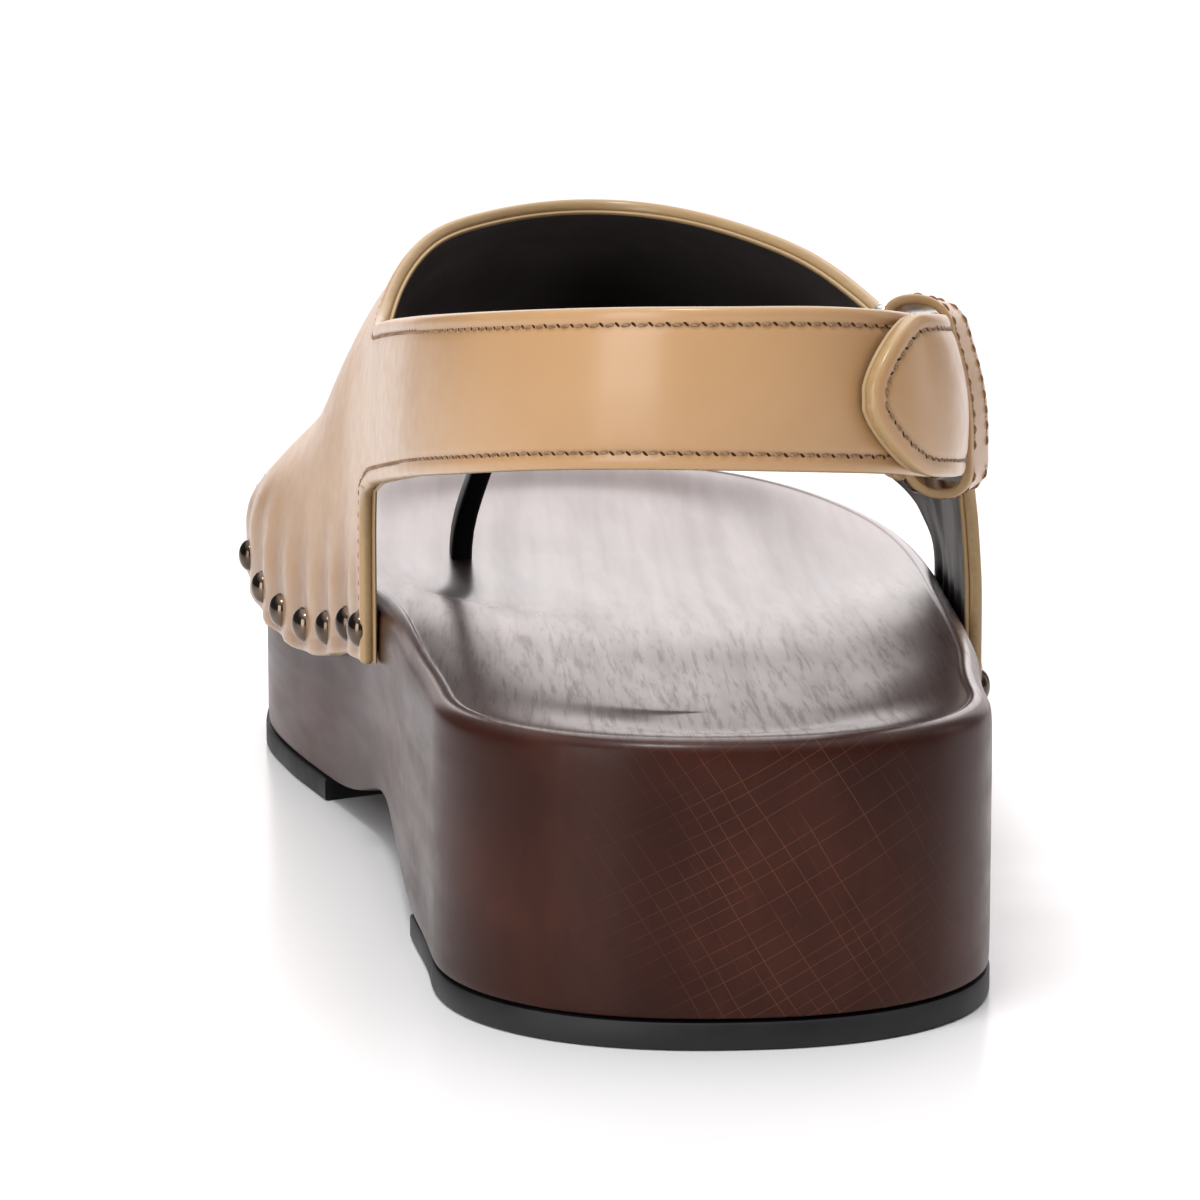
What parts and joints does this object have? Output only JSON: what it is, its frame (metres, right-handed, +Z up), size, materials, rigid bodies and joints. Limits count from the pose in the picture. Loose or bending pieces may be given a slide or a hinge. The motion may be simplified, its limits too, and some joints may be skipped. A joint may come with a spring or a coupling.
{
  "type": "slingback thong clog",
  "caption": "Right-foot thong clog: wooden sole with rubber treads, nailed leather vamp, toe post, and a slingback strap with a side buckle.",
  "frame": {"origin": "middle of the footprint's bounding box, on the floor", "axes": "+Y from heel to toe, +X to the outer (lateral) side of the foot, +Z up"},
  "size_m": [0.1028, 0.2584, 0.0847],
  "materials": {
    "lacquered_wood": "gloss lacquer",
    "black_rubber": "matte",
    "tan_leather": "polished",
    "black_leather": "satin",
    "dark_metal": "polished, darkened",
    "silver_metal": "polished"
  },
  "bodies": {
    "root": {"sole_wood": "lacquered_wood", "outsole_heel": "black_rubber", "outsole_front": "black_rubber", "upper": "tan_leather", "toe_post": "black_leather", "keeper_loop": "tan_leather", "buckle_frame": "silver_metal", "buckle_prong": "silver_metal", "stud_medial_1": "dark_metal", "stud_medial_2": "dark_metal", "stud_medial_3": "dark_metal", "stud_medial_4": "dark_metal", "stud_medial_5": "dark_metal", "stud_medial_6": "dark_metal", "stud_medial_7": "dark_metal", "stud_lateral_1": "dark_metal", "stud_lateral_2": "dark_metal", "stud_lateral_3": "dark_metal", "stud_lateral_4": "dark_metal", "stud_lateral_5": "dark_metal"}
  },
  "joints": []
}
